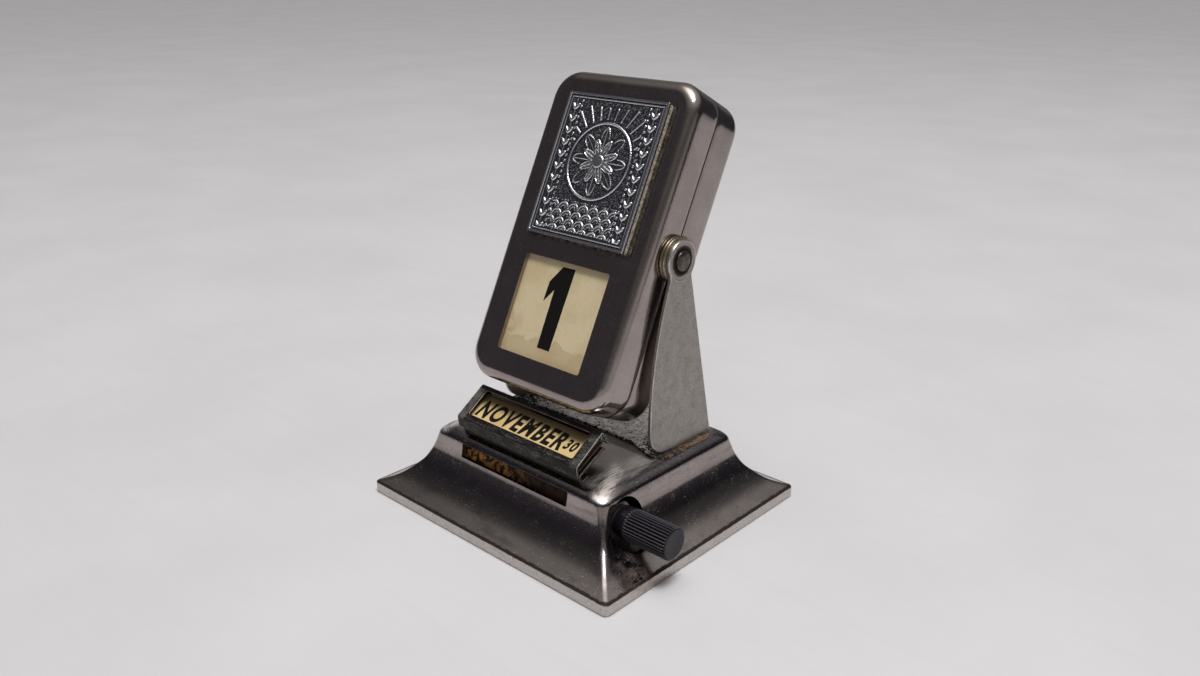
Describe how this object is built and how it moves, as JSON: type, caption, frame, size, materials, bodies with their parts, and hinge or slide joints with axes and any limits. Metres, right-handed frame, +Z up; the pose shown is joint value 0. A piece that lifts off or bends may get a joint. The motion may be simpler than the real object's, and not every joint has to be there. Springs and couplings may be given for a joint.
{
  "type": "perpetual desk calendar",
  "caption": "Perpetual desk calendar with a turn-over date head on a flared metal base, a sliding-card month holder and a weekday roller with a side knob.",
  "frame": {"origin": "on the table, under the middle of the base, in the underside of the pad", "axes": "+Z up, -Y towards the reader, +X towards the knob side"},
  "size_m": [0.0938, 0.08, 0.1153],
  "materials": {
    "base_chrome": "aged, scratched chrome plate",
    "head_chrome": "aged, scratched chrome plate",
    "pitted_plate": "pitted, dull plate with rust at the edge",
    "side_plate_nickel": "mottled dull nickel plate",
    "lacquered_steel": "black lacquer",
    "baize": "worn dark green baize",
    "plain_steel": "dull plain steel",
    "rusty_sheet": "sheet with rusty edges",
    "tarnished_nickel": "dark tarnished nickel",
    "roller_steel": "rusted bare steel",
    "black_plastic": "black moulded, slightly worn",
    "cage_plastic": "dark moulded",
    "dark_pin": "dark worn steel",
    "brass_washer": "dull tarnished brass",
    "plaque_relief": "bright relief with dark recesses",
    "plaque_board": "beige moulded board",
    "date_card_plastic": "yellowed cream, stained",
    "month_card_board": "yellowed cream card, printed black"
  },
  "bodies": {
    "base": {"base_shell": "base_chrome", "top_plate": "pitted_plate", "side_plate_left": "side_plate_nickel", "side_plate_right": "side_plate_nickel", "bottom_plate": "lacquered_steel", "base_pad": "baize", "bottom_posts": "plain_steel", "base_fasteners": "plain_steel", "roller_cradle": "plain_steel", "month_seat": "rusty_sheet", "month_hood": "tarnished_nickel"},
    "head": {"front_shell": "head_chrome", "rear_shell": "head_chrome", "card_cage": "cage_plastic", "card_divider": "plain_steel", "pivot_pins": "dark_pin", "pivot_washers": "brass_washer", "plaque": "plaque_relief", "plaque_backing": "plaque_board", "date_card_02": "date_card_plastic", "date_card_03": "date_card_plastic", "date_card_04": "date_card_plastic", "date_card_05": "date_card_plastic", "date_card_06": "date_card_plastic", "date_card_07": "date_card_plastic", "date_card_08": "date_card_plastic", "date_card_09": "date_card_plastic", "date_card_10": "date_card_plastic", "date_card_11": "date_card_plastic", "date_card_12": "date_card_plastic", "date_card_13": "date_card_plastic", "date_card_14": "date_card_plastic", "date_card_15": "date_card_plastic", "date_card_16": "date_card_plastic", "date_card_17": "date_card_plastic", "date_card_18": "date_card_plastic", "date_card_19": "date_card_plastic", "date_card_20": "date_card_plastic", "date_card_21": "date_card_plastic", "date_card_22": "date_card_plastic", "date_card_23": "date_card_plastic", "date_card_24": "date_card_plastic", "date_card_25": "date_card_plastic", "date_card_26": "date_card_plastic", "date_card_27": "date_card_plastic", "date_card_28": "date_card_plastic", "date_card_29": "date_card_plastic", "date_card_30": "date_card_plastic", "date_card_31": "date_card_plastic"},
    "shown_date_card": {"date_card_01": "date_card_plastic"},
    "roller": {"weekday_roller": "roller_steel", "roller_shaft": "plain_steel", "shaft_rings": "plain_steel", "roller_knob": "black_plastic"},
    "month_card_1_body": {"month_card_1": "month_card_board"},
    "month_card_2_body": {"month_card_2": "month_card_board"},
    "month_card_3_body": {"month_card_3": "month_card_board"},
    "month_card_4_body": {"month_card_4": "month_card_board"},
    "month_card_5_body": {"month_card_5": "month_card_board"},
    "month_card_6_body": {"month_card_6": "month_card_board"}
  },
  "joints": [
    {"name": "head_turn", "type": "hinge", "parent": "base", "child": "head", "pos_m": [0, 0.00689, 0.07339], "axis": [1, 0, 0], "continuous": true},
    {"name": "date_card_drop", "type": "slide", "parent": "head", "child": "shown_date_card", "axis": [0, 0.4431, 0.8965], "range_m": [0, 0.042]},
    {"name": "roller_turn", "type": "hinge", "parent": "base", "child": "roller", "pos_m": [0, -0.01969, 0.0123], "axis": [1, 0, 0], "continuous": true},
    {"name": "month_card_1_pull", "type": "slide", "parent": "base", "child": "month_card_1_body", "axis": [1, 0, 0], "range_m": [0, 0.046]},
    {"name": "month_card_2_pull", "type": "slide", "parent": "base", "child": "month_card_2_body", "axis": [1, 0, 0], "range_m": [0, 0.046]},
    {"name": "month_card_3_pull", "type": "slide", "parent": "base", "child": "month_card_3_body", "axis": [1, 0, 0], "range_m": [0, 0.046]},
    {"name": "month_card_4_pull", "type": "slide", "parent": "base", "child": "month_card_4_body", "axis": [1, 0, 0], "range_m": [0, 0.046]},
    {"name": "month_card_5_pull", "type": "slide", "parent": "base", "child": "month_card_5_body", "axis": [1, 0, 0], "range_m": [0, 0.046]},
    {"name": "month_card_6_pull", "type": "slide", "parent": "base", "child": "month_card_6_body", "axis": [1, 0, 0], "range_m": [0, 0.046]}
  ]
}
